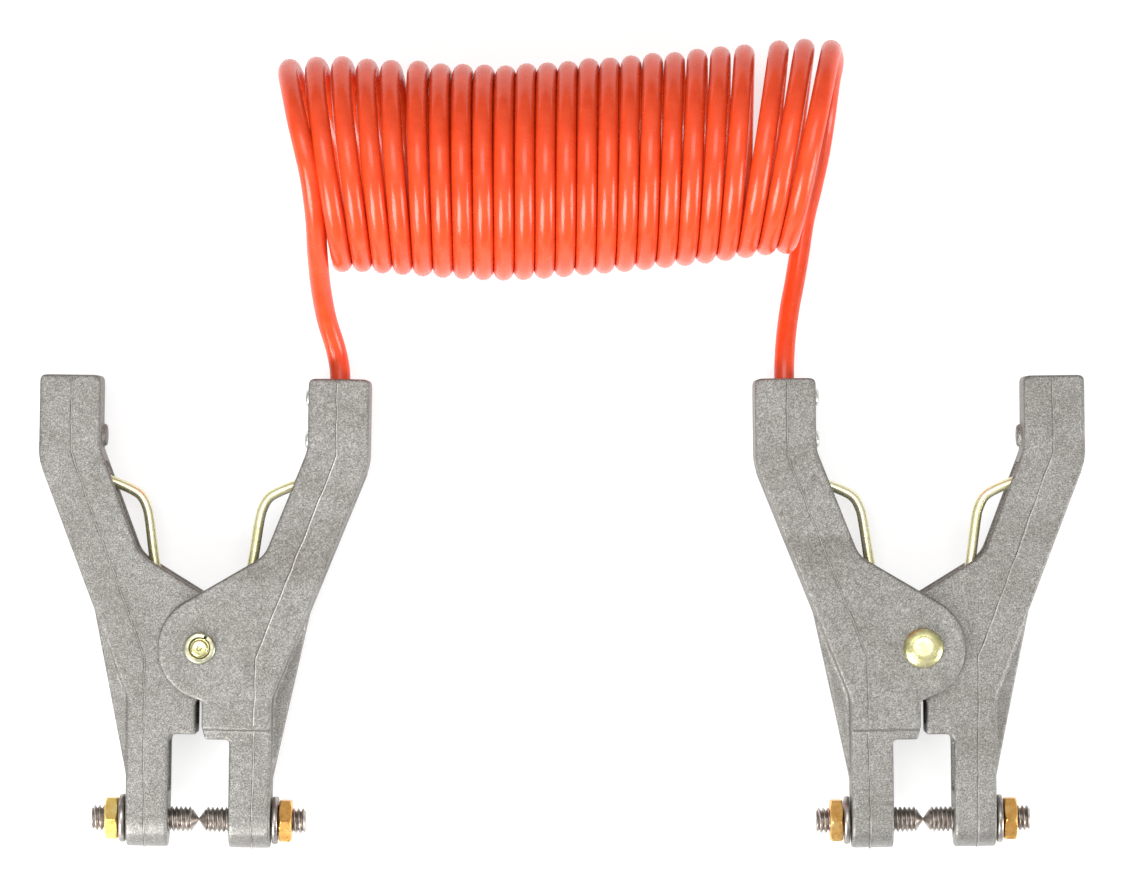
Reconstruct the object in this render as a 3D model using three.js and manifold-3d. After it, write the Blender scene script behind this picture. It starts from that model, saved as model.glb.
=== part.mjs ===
// Static bonding cable: two sprung, cast hand clamps joined by one coiled, jacketed cable.
// Millimetres, +Z up. The cable and both clamps lie flat, with the lowest points at Z = 0.
// The origin is below the middle of the two clamps' bounding box. +Y runs from the jaws to
// the handles, and the left clamp is at -X.
// Each clamp is drawn in its own frame: origin on the pivot's axis, x across, y towards the
// handles and z along the pivot pin towards its retaining ring, with the cable half at +x.
import * as THREE from "three";
import { mergeVertices } from "three/addons/utils/BufferGeometryUtils.js";
import Module from "manifold-3d";

const wasm = await Module();
wasm.setup();

// ---------------------------------------------------------------- driving dimensions

// Gap between pieces that touch, and radial clearance of what passes through a hole.
const GAP = 0.3;
const CLEARANCE = 0.3;

// How far a cut runs past the face that it opens.
const OVERRUN = 1;

// Handles, measured from the pivot. "Inner" is the side that faces the other handle.
const HANDLE_TOP = 84.2;
const HANDLE_INNER = 32.3;
const HANDLE_WIDTH = 19;
const HANDLE_CORNER = 1.9;
const HANDLE_BLOCK = 27;
const OUTER_BEND = 57.6;
const INNER_BEND = 62;
const LOWER_BEND_X = 19.5;
const EAR_RADIUS = 16.4;
const EAR_OFFSET = 3.2;
const EAR_SLOPE = THREE.MathUtils.degToRad(31);
const WAIST = -15.8;
const BEND_ROUNDING = 3;
const INNER_ROUNDING = 2;

// Jaws.
const JAW_INNER = 9.4;
const JAW_WIDTH = 13.1;
const SCREW_DROP = 53.8;
const JAW_BLOCK = 8.8;
const SHELF_BOTTOM = -27;
const SHELF_FILLET = 2.5;
const PLATE_BOTTOM = -25.3;
const CROSSPIECE_BOTTOM = -28.5;
const SLOT_HALF = 0.9;
const CROSSPIECE_SLANT = 1;
const FLOOR_WALL = 3;

// Depths along the pivot.
const TONGUE_HALF_DEPTH = 8.7;
const EAR_PLATE = 3;
const EAR_PLAY = 0.4;
const TONGUE_WALL = 3;
const WEB = 3.2;
const RIB_HALF_DEPTH = 4;
const RIB_PROUD = 0.5;
const FIN_TOP = 11;
const FIN_BOTTOM = -42;

// Pivot pin and its ring.
const PIN_RADIUS = 3.175;
const PIN_HEAD_RADIUS = 6.2;
const PIN_HEAD_FLAT = 3.3;
const PIN_PROUD = 3;
const PIN_END_RADIUS = 2.65;
const RING_RADIUS = 4.9;
const RING_THICKNESS = 1.2;

// Torsion spring. Its turns fill the tongue half's hollow but for the play at each side.
const SPRING_PLAY = 0.94;
const SPRING_MEAN_RADIUS = 10.9;
const SPRING_TURNS = 3;
// Points along a leg: distance outside the coil's mean radius, and height over the pivot.
const SPRING_LEG = [
  [0, -1],
  [2.3, 13],
  [4.7, 27],
  [6.8, 41.5],
  [8.6, 46.2],
  [11.5, 48.8],
];
// Where the leg ends: the same distance outside, and how far below the handle's block.
const SPRING_LEG_REACH = 29;
const SPRING_LEG_DROP = 2.2;

// Contact screws, lock nuts and lock washers.
const SCREW_RADIUS = 3.97;
const SCREW_END = 33.3;
const SCREW_TIP = 0.15;
const SCREW_SLOT_WIDTH = 1.2;
const SCREW_SLOT_DEPTH = 1.6;
const NUT_FLATS = 12.7;
const HEX_SIDES = 6;
const NUT_THICKNESS = 4;
const WASHER_RADIUS = 7.5;
const WASHER_THICKNESS = 2;
const WASHER_SPLIT = 1.6;

// Cable, its bore in the handle, the sleeve on its end and the screws that clamp it.
const CABLE_RADIUS = 3.175;
const BORE_X = 41.6;
const BORE_DEPTH = 25;
const JACKET_INSET = 3;
const SLEEVE_RADIUS = 3;
const CABLE_SCREW_DROPS = { upper: 6, lower: 19 };
const CABLE_SCREW_HEAD = 2.75;
const CABLE_SCREW_SHANK = 1.6;
const CABLE_SCREW_PROUD = 1.4;
const STOP_DROP = 18.6;
const STOP_RADIUS = 3.5;
const STOP_PROUD = 1.8;

// Placement of the clamps: how far apart the pivots lie and how far each clamp is turned.
const PIVOT_SPACING = 224.3;
const LEFT_TURN = THREE.MathUtils.degToRad(-1);
const RIGHT_TURN = THREE.MathUtils.degToRad(0.7);

// Coiled stretch of the cable: one fat tube whose far side (+Y) is wider than its near side.
const COIL_RADIUS = 33.4;
const COIL_LIFT = 0.1;
const COIL_FAR_ENDS = [-81.6, 80.4];
const COIL_NEAR_ENDS = [-66.9, 70.2];
const COIL_Y = 137.6;
const COIL_TILT = 3;
const COIL_SAG = 5;

// Free ends of the cable: points on the centre line. The left one runs from the handle to the
// coil, the right one from the coil to the handle.
const LEFT_LEAD_ROUTE = [
  [-69.2, 69.4, 15.1],
  [-69.3, 75, 15.1],
  [-70.6, 82, 16.2],
  [-73.2, 91.2, 22],
  [-74.6, 101, 32],
  [-75.1, 111, 44],
  [-75.2, 121, 54.4],
  [-76.4, 132.5, 61.2],
  [-78.4, 142, 63],
  [-80.6, 151, 60.8],
  [-82.7, 160.4, 53],
  [-84.2, 167, 43],
  [-84.5, 169, 35],
];
const RIGHT_LEAD_ROUTE = [
  [84, 173.4, 32],
  [84.5, 170.8, 21],
  [83.8, 165, 12],
  [82.8, 155.5, 5.4],
  [81.1, 144, 3.4],
  [78.7, 133, 3.3],
  [76.2, 122.6, 3.3],
  [74.6, 112.2, 3.6],
  [73, 103, 5.2],
  [71.2, 94, 8.4],
  [69.9, 84.7, 12.4],
  [69.35, 76.5, 14.9],
  [69.38, 69.7, 15.1],
];

// Fineness of round stretches.
const CURVE_STEPS = 5;
const ROUND_SIDES = 24;
const SPRING_SIDES = 8;
const CORD_SIDES = 10;
const LEG_STEPS = 18;
const CORD_STEPS = 26;
const COIL_STEPS = 8;

// ---------------------------------------------------------------- derived sizes

const CLEVIS_INNER_DEPTH = TONGUE_HALF_DEPTH + EAR_PLAY;
const CLEVIS_HALF_DEPTH = CLEVIS_INNER_DEPTH + EAR_PLATE;
const POCKET_HALF_DEPTH = TONGUE_HALF_DEPTH - TONGUE_WALL;
const PIN_END = CLEVIS_HALF_DEPTH + PIN_PROUD;
const SPRING_WIRE = (2 * (POCKET_HALF_DEPTH - SPRING_PLAY)) / SPRING_TURNS;
const JAW_OUTER = JAW_INNER + JAW_WIDTH;
const HANDLE_OUTER = HANDLE_INNER + HANDLE_WIDTH;
const BLOCK_BOTTOM = HANDLE_TOP - HANDLE_BLOCK;
const JAW_BLOCK_TOP = -SCREW_DROP + JAW_BLOCK;
const LOWER_BEND_Y =
  EAR_RADIUS / Math.cos(EAR_SLOPE) + (LOWER_BEND_X - EAR_OFFSET) * Math.tan(EAR_SLOPE);
const EAR_TANGENT = [
  EAR_OFFSET - EAR_RADIUS * Math.sin(EAR_SLOPE),
  EAR_RADIUS * Math.cos(EAR_SLOPE),
];
const WASHER_START = JAW_OUTER + GAP;
const NUT_START = WASHER_START + WASHER_THICKNESS + GAP;
const SCREW_HOLE = SCREW_RADIUS + CLEARANCE;
const BORE_RADIUS = CABLE_RADIUS + CLEARANCE;

// x of the straight outer edge between the waist and the outer bend, at height y.
function outerEdge(y) {
  return JAW_OUTER + ((HANDLE_OUTER - JAW_OUTER) * (y - WAIST)) / (OUTER_BEND - WAIST);
}

// ---------------------------------------------------------------- materials

function finish(colour, roughness, metalness) {
  return new THREE.MeshStandardMaterial({ color: colour, roughness, metalness });
}

const CAST_ALUMINIUM = finish(0xb2afaa, 0.6, 0.6);
const YELLOW_ZINC = finish(0xcfc98e, 0.35, 0.8);
const BRASS = finish(0xd9a441, 0.3, 0.9);
const STEEL = finish(0x8b8178, 0.4, 0.9);
const BRIGHT_ZINC = finish(0xb9bab4, 0.35, 0.8);
const CABLE_JACKET = finish(0xef5a35, 0.25, 0);

// ---------------------------------------------------------------- solids

// A closed three.js geometry as a solid that can be joined and cut.
function solid(geometry) {
  const bare = geometry.index ? geometry.toNonIndexed() : geometry.clone();
  bare.deleteAttribute("normal");
  bare.deleteAttribute("uv");
  const merged = mergeVertices(bare, 1e-4);
  return new wasm.Manifold(
    new wasm.Mesh({
      numProp: 3,
      vertProperties: merged.attributes.position.array,
      triVerts: new Uint32Array(merged.index.array),
    }),
  );
}

// A solid as a named mesh with flat faces.
function piece(name, made, material) {
  const { vertProperties, triVerts } = made.getMesh();
  const indexed = new THREE.BufferGeometry();
  indexed.setAttribute("position", new THREE.BufferAttribute(vertProperties, 3));
  indexed.setIndex(new THREE.BufferAttribute(triVerts, 1));
  const geometry = indexed.toNonIndexed();
  geometry.computeVertexNormals();
  const mesh = new THREE.Mesh(geometry, material);
  mesh.name = name;
  return mesh;
}

// Outline through corners [x, y, radius]; a corner with a radius is rounded by a curve.
function outline(corners) {
  const shape = new THREE.Shape();
  corners.forEach(([x, y, radius = 0], i) => {
    const corner = new THREE.Vector2(x, y);
    const before = new THREE.Vector2(...corners.at(i - 1).slice(0, 2));
    const after = new THREE.Vector2(...corners[(i + 1) % corners.length].slice(0, 2));
    const start = corner.clone().add(before.sub(corner).setLength(radius));
    const end = corner.clone().add(after.sub(corner).setLength(radius));
    if (i === 0) shape.moveTo(start.x, start.y);
    else shape.lineTo(start.x, start.y);
    if (radius > 0) shape.quadraticCurveTo(x, y, end.x, end.y);
  });
  shape.closePath();
  return shape;
}

// An outline as a slab from -halfDepth to +halfDepth.
function slab(corners, halfDepth) {
  const geometry = new THREE.ExtrudeGeometry(outline(corners), {
    depth: 2 * halfDepth,
    bevelEnabled: false,
    curveSegments: CURVE_STEPS,
  });
  return solid(geometry.translate(0, 0, -halfDepth));
}

// A rod along z, y or x between two places on that axis, with its axis through (a, b) of the
// other two axes.
function rodZ(radius, z0, z1, x = 0, y = 0, sides = ROUND_SIDES) {
  const geometry = new THREE.CylinderGeometry(radius, radius, z1 - z0, sides);
  return solid(geometry.rotateX(Math.PI / 2).translate(x, y, (z0 + z1) / 2));
}

function rodY(radius, y0, y1, x = 0, z = 0, sides = ROUND_SIDES) {
  const geometry = new THREE.CylinderGeometry(radius, radius, y1 - y0, sides);
  return solid(geometry.translate(x, (y0 + y1) / 2, z));
}

function rodX(radius, x0, x1, y = 0, z = 0, sides = ROUND_SIDES) {
  const geometry = new THREE.CylinderGeometry(radius, radius, x1 - x0, sides);
  return solid(geometry.rotateZ(Math.PI / 2).translate((x0 + x1) / 2, y, z));
}

// A turned piece about z from a closed profile of [radius, z].
function turned(profile) {
  const points = profile.map(([radius, z]) => new THREE.Vector2(radius, z));
  return solid(new THREE.LatheGeometry(points, ROUND_SIDES).rotateX(Math.PI / 2));
}

// A round wire along a smooth curve through points.
function wire(points, radius, steps, sides) {
  const corners = points.map((p) => new THREE.Vector3(...p));
  const path = new THREE.CatmullRomCurve3(corners, false, "centripetal");
  const section = new THREE.Shape();
  section.absarc(0, 0, radius, 0, 2 * Math.PI);
  return solid(
    new THREE.ExtrudeGeometry(section, {
      steps,
      extrudePath: path,
      bevelEnabled: false,
      curveSegments: sides / 2,
    }),
  );
}

// ---------------------------------------------------------------- castings

// Every casting is drawn at +x and put on its own side by this.
function onSide(side, corners) {
  return corners.map(([x, y, radius]) => [side * x, y, radius]);
}

// Corners of the arm from the slot under the ear, over the handle and down to the waist.
function armCorners(slotX, slotBottom) {
  return [
    [slotX, slotBottom],
    [slotX, 0],
    EAR_TANGENT,
    [LOWER_BEND_X, LOWER_BEND_Y, BEND_ROUNDING],
    [HANDLE_INNER, INNER_BEND, INNER_ROUNDING],
    [HANDLE_INNER, HANDLE_TOP, HANDLE_CORNER],
    [HANDLE_OUTER, HANDLE_TOP, HANDLE_CORNER],
    [HANDLE_OUTER, OUTER_BEND, BEND_ROUNDING],
    [JAW_OUTER, WAIST, INNER_ROUNDING],
  ];
}

// The rib down the middle of the outer web and the fin that it runs into at the waist.
function ribAndFin(side) {
  const ribTop = OUTER_BEND - HANDLE_CORNER;
  return slab(
    onSide(side, [
      [outerEdge(ribTop) - WEB / 2, ribTop],
      [outerEdge(ribTop - RIB_PROUD) + RIB_PROUD, ribTop - RIB_PROUD],
      [outerEdge(FIN_TOP) + RIB_PROUD, FIN_TOP],
      [JAW_OUTER, FIN_BOTTOM],
      [JAW_OUTER - WEB / 2, FIN_BOTTOM],
      [JAW_OUTER - WEB / 2, WAIST],
    ]),
    RIB_HALF_DEPTH,
  );
}

// The hollow between the arm's two walls, open towards the other half.
function armPocket(side, floor, halfDepth) {
  return slab(
    onSide(side, [
      [-LOWER_BEND_X, floor],
      [JAW_OUTER - WEB, floor],
      [JAW_OUTER - WEB, WAIST],
      [outerEdge(BLOCK_BOTTOM) - WEB, BLOCK_BOTTOM],
      [-LOWER_BEND_X, BLOCK_BOTTOM],
    ]),
    halfDepth,
  );
}

// The hollow in the jaw arm, between the shelf and the block that holds the screw.
function jawPocket(side, top) {
  return slab(
    onSide(side, [
      [0, top],
      [JAW_OUTER - WEB, top],
      [JAW_OUTER - WEB, JAW_BLOCK_TOP],
      [0, JAW_BLOCK_TOP],
    ]),
    POCKET_HALF_DEPTH,
  );
}

// The rounded end of the jaw, about the contact screw.
function jawEnd(side) {
  const ends = [side * JAW_INNER, side * JAW_OUTER].sort((a, b) => a - b);
  return rodX(TONGUE_HALF_DEPTH, ...ends, -SCREW_DROP);
}

function screwHole(side) {
  const ends = [side * (JAW_INNER - GAP), side * (JAW_OUTER + GAP)].sort((a, b) => a - b);
  return rodX(SCREW_HOLE, ...ends, -SCREW_DROP);
}

// The hole for the pivot pin through both ears.
function pivotHole() {
  return rodZ(PIN_RADIUS + CLEARANCE, -PIN_END, PIN_END);
}

function ear(side, halfDepth) {
  return rodZ(EAR_RADIUS, -halfDepth, halfDepth, side * EAR_OFFSET, 0, 2 * ROUND_SIDES);
}

// The half with two outer ear plates, which takes the cable into its handle.
function cableHalf() {
  const arm = slab(
    [...armCorners(SLOT_HALF, PLATE_BOTTOM), [JAW_OUTER, PLATE_BOTTOM]],
    CLEVIS_HALF_DEPTH,
  );
  const jaw = slab(
    [
      [JAW_INNER, PLATE_BOTTOM + FLOOR_WALL],
      [JAW_OUTER, PLATE_BOTTOM + FLOOR_WALL],
      [JAW_OUTER, -SCREW_DROP],
      [JAW_INNER, -SCREW_DROP],
    ],
    TONGUE_HALF_DEPTH,
  );
  const crosspiece = slab(
    [
      [SLOT_HALF, PLATE_BOTTOM + FLOOR_WALL],
      [JAW_OUTER, PLATE_BOTTOM + FLOOR_WALL],
      [JAW_OUTER, CROSSPIECE_BOTTOM],
      [SLOT_HALF + CROSSPIECE_SLANT, CROSSPIECE_BOTTOM],
      [SLOT_HALF, PLATE_BOTTOM],
    ],
    TONGUE_HALF_DEPTH,
  );
  let made = arm.add(ear(1, CLEVIS_HALF_DEPTH)).subtract(armPocket(1, PLATE_BOTTOM, CLEVIS_INNER_DEPTH));
  made = made.add(jaw).add(crosspiece).add(jawEnd(1)).add(ribAndFin(1));
  made = made.add(floorPlate());
  made = made.subtract(jawPocket(1, CROSSPIECE_BOTTOM)).subtract(screwHole(1)).subtract(pivotHole());
  made = made.subtract(rodY(BORE_RADIUS, HANDLE_TOP - BORE_DEPTH, HANDLE_TOP + GAP, BORE_X));
  for (const drop of Object.values(CABLE_SCREW_DROPS)) {
    const hole = CABLE_SCREW_SHANK + CLEARANCE;
    made = made.subtract(rodX(hole, HANDLE_INNER - GAP, BORE_X, HANDLE_TOP - drop));
  }
  return made;
}

// The wall that joins the two plates to the crosspiece under the ears.
function floorPlate() {
  return slab(
    [
      [SLOT_HALF, PLATE_BOTTOM],
      [JAW_OUTER - WEB / 2, PLATE_BOTTOM],
      [JAW_OUTER - WEB / 2, PLATE_BOTTOM + FLOOR_WALL],
      [SLOT_HALF, PLATE_BOTTOM + FLOOR_WALL],
    ],
    CLEVIS_HALF_DEPTH - EAR_PLATE / 2,
  );
}

// The half whose ears sit between the plates of the cable half.
function tongueHalf() {
  const body = slab(
    onSide(-1, [
      ...armCorners(SLOT_HALF, SHELF_BOTTOM),
      [JAW_OUTER, -SCREW_DROP],
      [JAW_INNER, -SCREW_DROP],
      [JAW_INNER, SHELF_BOTTOM, SHELF_FILLET],
    ]),
    TONGUE_HALF_DEPTH,
  );
  const stopEnds = [-HANDLE_INNER - GAP, -HANDLE_INNER + STOP_PROUD];
  const stop = rodX(STOP_RADIUS, ...stopEnds, HANDLE_TOP - STOP_DROP);
  let made = body.add(ear(-1, TONGUE_HALF_DEPTH));
  made = made.subtract(armPocket(-1, SHELF_BOTTOM + FLOOR_WALL, POCKET_HALF_DEPTH));
  made = made.subtract(jawPocket(-1, SHELF_BOTTOM - SHELF_FILLET));
  made = made.add(jawEnd(-1)).add(ribAndFin(-1)).add(stop);
  return made.subtract(screwHole(-1)).subtract(pivotHole());
}

// ---------------------------------------------------------------- pivot

// Pin with a low domed head at -z and a reduced end beyond the ring at +z.
function pivotPin() {
  const seat = -CLEVIS_HALF_DEPTH - GAP;
  const domeRise = (PIN_HEAD_RADIUS - PIN_HEAD_FLAT) / 2;
  return turned([
    [0, -PIN_END],
    [PIN_HEAD_FLAT, -PIN_END],
    [PIN_HEAD_RADIUS - domeRise / 2, -PIN_END + domeRise / 2],
    [PIN_HEAD_RADIUS, -PIN_END + domeRise],
    [PIN_HEAD_RADIUS, seat],
    [PIN_RADIUS, seat],
    [PIN_RADIUS, CLEVIS_HALF_DEPTH],
    [PIN_END_RADIUS, CLEVIS_HALF_DEPTH],
    [PIN_END_RADIUS, PIN_END],
    [0, PIN_END],
  ]);
}

function retainingRing() {
  const start = CLEVIS_HALF_DEPTH + GAP;
  const end = start + RING_THICKNESS;
  const hole = rodZ(PIN_END_RADIUS + CLEARANCE, start - OVERRUN, end + OVERRUN);
  return rodZ(RING_RADIUS, start, end).subtract(hole);
}

// Coil about the pin, with one leg up into each arm.
function torsionSpring() {
  const wireRadius = SPRING_WIRE / 2;
  const half = (SPRING_TURNS * SPRING_WIRE) / 2;
  const coil = rodZ(SPRING_MEAN_RADIUS + wireRadius, -half, half).subtract(
    rodZ(SPRING_MEAN_RADIUS - wireRadius, -half - OVERRUN, half + OVERRUN),
  );
  const legDepth = half - wireRadius;
  const leg = (side) => {
    const end = [SPRING_LEG_REACH, BLOCK_BOTTOM - SPRING_LEG_DROP];
    const points = [...SPRING_LEG, end].map(([out, height]) => [
      side * (SPRING_MEAN_RADIUS + out),
      height,
      side * legDepth,
    ]);
    return wire(points, wireRadius, LEG_STEPS, SPRING_SIDES);
  };
  return coil.add(leg(1)).add(leg(-1));
}

// ---------------------------------------------------------------- contact screws

// Cone-point set screw along +x, slotted at its outer end.
function contactScrew() {
  const profile = [
    [0, SCREW_TIP],
    [SCREW_RADIUS, SCREW_TIP + SCREW_RADIUS],
    [SCREW_RADIUS, SCREW_END],
    [0, SCREW_END],
  ];
  const slot = new THREE.BoxGeometry(2 * SCREW_SLOT_DEPTH, 4 * SCREW_RADIUS, SCREW_SLOT_WIDTH);
  const upright = turned(profile).getMesh();
  const geometry = new THREE.BufferGeometry();
  geometry.setAttribute("position", new THREE.BufferAttribute(upright.vertProperties, 3));
  geometry.setIndex(new THREE.BufferAttribute(upright.triVerts, 1));
  return solid(geometry.rotateY(Math.PI / 2)).subtract(solid(slot.translate(SCREW_END, 0, 0)));
}

function lockNut() {
  const corner = NUT_FLATS / 2 / Math.cos(Math.PI / HEX_SIDES);
  const end = NUT_START + NUT_THICKNESS;
  const hole = rodX(SCREW_HOLE, NUT_START - OVERRUN, end + OVERRUN);
  return rodX(corner, NUT_START, end, 0, 0, HEX_SIDES).subtract(hole);
}

function lockWasher() {
  const end = WASHER_START + WASHER_THICKNESS;
  const split = new THREE.BoxGeometry(2 * WASHER_THICKNESS, WASHER_RADIUS, WASHER_SPLIT);
  return rodX(WASHER_RADIUS, WASHER_START, end)
    .subtract(rodX(SCREW_HOLE, WASHER_START - OVERRUN, end + OVERRUN))
    .subtract(solid(split.translate(WASHER_START + WASHER_THICKNESS / 2, WASHER_RADIUS, 0)));
}

// ---------------------------------------------------------------- cable fastening

// Low-headed screw along +x, from the handle's inner face to the sleeve.
function cableScrew() {
  const shankEnd = BORE_X - SLEEVE_RADIUS - GAP;
  const headEnd = HANDLE_INNER - CABLE_SCREW_PROUD;
  const head = rodX(CABLE_SCREW_HEAD, headEnd, HANDLE_INNER - GAP);
  return head.add(rodX(CABLE_SCREW_SHANK, headEnd, shankEnd));
}

function cableSleeve() {
  const bottom = HANDLE_TOP - BORE_DEPTH + GAP;
  return rodY(SLEEVE_RADIUS, bottom, HANDLE_TOP - JACKET_INSET - GAP, BORE_X);
}

// ---------------------------------------------------------------- one clamp

function clamp(prefix) {
  const group = new THREE.Group();
  const place = (name, made, material, x = 0, y = 0, turn = 0) => {
    const mesh = piece(prefix + name, made, material);
    mesh.position.set(x, y, 0);
    mesh.rotation.y = turn;
    group.add(mesh);
  };
  place("cable_half", cableHalf(), CAST_ALUMINIUM);
  place("tongue_half", tongueHalf(), CAST_ALUMINIUM);
  place("pivot_pin", pivotPin(), YELLOW_ZINC);
  place("retaining_ring", retainingRing(), YELLOW_ZINC);
  place("torsion_spring", torsionSpring(), YELLOW_ZINC);
  for (const [half, turn] of [["cable", 0], ["tongue", Math.PI]]) {
    place(`${half}_contact_screw`, contactScrew(), STEEL, 0, -SCREW_DROP, turn);
    place(`${half}_lock_nut`, lockNut(), BRASS, 0, -SCREW_DROP, turn);
    place(`${half}_lock_washer`, lockWasher(), STEEL, 0, -SCREW_DROP, turn);
  }
  for (const [level, drop] of Object.entries(CABLE_SCREW_DROPS)) {
    place(`${level}_cable_screw`, cableScrew(), BRIGHT_ZINC, 0, HANDLE_TOP - drop);
  }
  place("cable_sleeve", cableSleeve(), BRIGHT_ZINC);
  return group;
}

// ---------------------------------------------------------------- cable

// The coiled stretch as one fat tube, deformed so that it sags and its far side is wider.
function coiledCable() {
  const inner = COIL_RADIUS - 2 * CABLE_RADIUS;
  const stations = Array.from({ length: COIL_STEPS + 1 }, (_, i) => (2 * i) / COIL_STEPS - 1);
  const profile = [
    ...stations.map((along) => new THREE.Vector2(COIL_RADIUS, along)),
    ...stations.reverse().map((along) => new THREE.Vector2(inner, along)),
    new THREE.Vector2(COIL_RADIUS, -1),
  ];
  const geometry = new THREE.LatheGeometry(profile, ROUND_SIDES);
  const position = geometry.attributes.position;
  for (let i = 0; i < position.count; i += 1) {
    const along = position.getY(i);
    const across = position.getX(i);
    const up = position.getZ(i);
    const [far, near] = [COIL_FAR_ENDS, COIL_NEAR_ENDS].map((ends) =>
      THREE.MathUtils.mapLinear(along, -1, 1, ...ends),
    );
    const x = THREE.MathUtils.mapLinear(across, -COIL_RADIUS, COIL_RADIUS, near, far);
    const y = COIL_Y + COIL_TILT * along + COIL_SAG * along * along + across;
    position.setXYZ(i, x, y, COIL_LIFT + COIL_RADIUS - up);
  }
  return solid(geometry);
}

function cable() {
  const group = new THREE.Group();
  group.add(
    piece("coiled_cable", coiledCable(), CABLE_JACKET),
    piece("left_lead", wire(LEFT_LEAD_ROUTE, CABLE_RADIUS, CORD_STEPS, CORD_SIDES), CABLE_JACKET),
    piece("right_lead", wire(RIGHT_LEAD_ROUTE, CABLE_RADIUS, CORD_STEPS, CORD_SIDES), CABLE_JACKET),
  );
  return group;
}

// ---------------------------------------------------------------- assembly

// The left clamp shows its retaining ring upwards. The right one is the same clamp turned
// over, so its cable half is also towards the middle and its pin's head is upwards.
const clamps = new THREE.Group();
const left = clamp("left_");
left.position.set(-PIVOT_SPACING / 2, 0, PIN_END);
left.rotation.z = LEFT_TURN;
const right = clamp("right_");
right.position.set(PIVOT_SPACING / 2, 0, PIN_END);
right.rotation.set(0, Math.PI, RIGHT_TURN, "ZYX");
clamps.add(left, right);

// The pair is centred on the origin.
clamps.updateMatrixWorld(true);
const centre = new THREE.Box3().setFromObject(clamps, true).getCenter(new THREE.Vector3());
clamps.position.set(-centre.x, -centre.y, 0);

const bondingCable = new THREE.Group();
bondingCable.add(clamps, cable());
export default bondingCable;
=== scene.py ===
"""Looks of the static bonding cable: two sprung hand clamps and one coiled, jacketed cable."""

import math
from itertools import product

import bmesh
import bpy
import numpy as np
from mathutils import Matrix, Vector, noise


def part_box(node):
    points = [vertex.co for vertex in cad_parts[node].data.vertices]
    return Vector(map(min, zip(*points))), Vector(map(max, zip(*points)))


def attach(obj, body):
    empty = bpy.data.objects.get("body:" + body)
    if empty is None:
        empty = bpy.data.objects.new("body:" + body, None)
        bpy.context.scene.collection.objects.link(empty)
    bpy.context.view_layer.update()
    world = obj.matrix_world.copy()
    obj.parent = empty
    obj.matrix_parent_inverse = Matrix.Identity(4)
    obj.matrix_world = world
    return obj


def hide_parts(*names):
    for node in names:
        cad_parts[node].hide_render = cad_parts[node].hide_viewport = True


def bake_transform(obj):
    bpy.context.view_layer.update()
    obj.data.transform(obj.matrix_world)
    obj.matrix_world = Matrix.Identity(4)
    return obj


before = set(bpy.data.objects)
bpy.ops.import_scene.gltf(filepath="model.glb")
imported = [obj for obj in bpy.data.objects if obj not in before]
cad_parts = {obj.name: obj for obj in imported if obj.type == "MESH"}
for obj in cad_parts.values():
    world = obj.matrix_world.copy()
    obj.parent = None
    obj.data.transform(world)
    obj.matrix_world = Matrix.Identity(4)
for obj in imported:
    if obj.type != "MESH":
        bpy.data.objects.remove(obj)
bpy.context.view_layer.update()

MM = 0.001

# ---------------------------------------------------------------- sizes, in millimetres

# Radius of the small flat that closes a turned end.
HUB = 0.05

# How far each clamp leans in the row, in radians.
TURN = {"left": math.radians(-1.0), "right": math.radians(0.7)}

# Castings: heights are up from the pivot, and faces are out from the clamp's middle plane.
HANDLE_TOP = 84.2
HANDLE_INNER = 32.3
CABLE_HALF_FACE = 12.1
JAW_FACE = 8.7
PLATE_BOTTOM = -25.3
PLATE_STEP = 0.6
PLATE_STEP_FACE = 0.5 * (JAW_FACE + CABLE_HALF_FACE)
SCREW_DROP = 53.8

# Middle of the front of each arm, where the casting's two dies met.
FLASH_LINE = [(41.3, 84.2), (41.4, 60.5), (30.2, 30.5), (17.4, -3.0), (16.7, -53.8)]
FLASH_STEP = 1.2
FLASH_ROOT = -0.4
FLASH_CREST = 0.1
FLASH_LOW = 0.08
FLASH_HIGH = 0.3
FLASH_WIDE = 0.34
FLASH_WIDE_WAVER = 0.12
FLASH_WANDER = 0.35
JAW_FLASH_SWELL = 1.6
# Noise along it: its pace up and through the clamp, and how much finer the waver is.
FLASH_WAVES = (0.16, 0.2)
FLASH_WAVER = 3.7
FLASH_SEED = {"left": 0.0, "right": 40.0, "cable": 0.0, "tongue": 17.0}
FLASH_BOLD = {"left": 1.0, "right": 0.8, "cable": 1.0, "tongue": 0.6}
# Which face of its section gets painted shade.
FLASH_PAINTED_SHADE_FLANK = {"left": 3, "right": 1}

# Contact screws, along each from the point where the two meet.
SCREW_RADIUS = 3.97
SCREW_TIP = 0.04
SCREW_END = 33.3
SCREW_POINT_RADIUS = 0.45
SCREW_POINT_SLOPE = 1.45
SCREW_BEVEL = 0.75
THREAD_PITCH = 1.411
THREAD_ROWS = 10
THREAD_DEPTH = 1.0
THREAD_SLOPE = 1.35
THREAD_ROOT = 0.12
SLOT_WIDTH = 1.2
SLOT_DEPTH = 1.6

NUT_FLATS = 12.7
NUT_START = 25.1
NUT_END = 29.1
NUT_BORE = 4.05
NUT_BORE_CHAMFER = 0.55
NUT_CORNER_CUT = 0.15
NUT_CORNER_SLOPE = 1.75
NUT_FACE_INSET = 0.05

WASHER_START = 22.85
WASHER_END = 24.8
WASHER_OUTER = 7.5
WASHER_INNER = 4.6
WASHER_CORNER = 0.35
WASHER_TWIST = 0.12
WASHER_HALF_GAP = math.radians(6.5)

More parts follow.
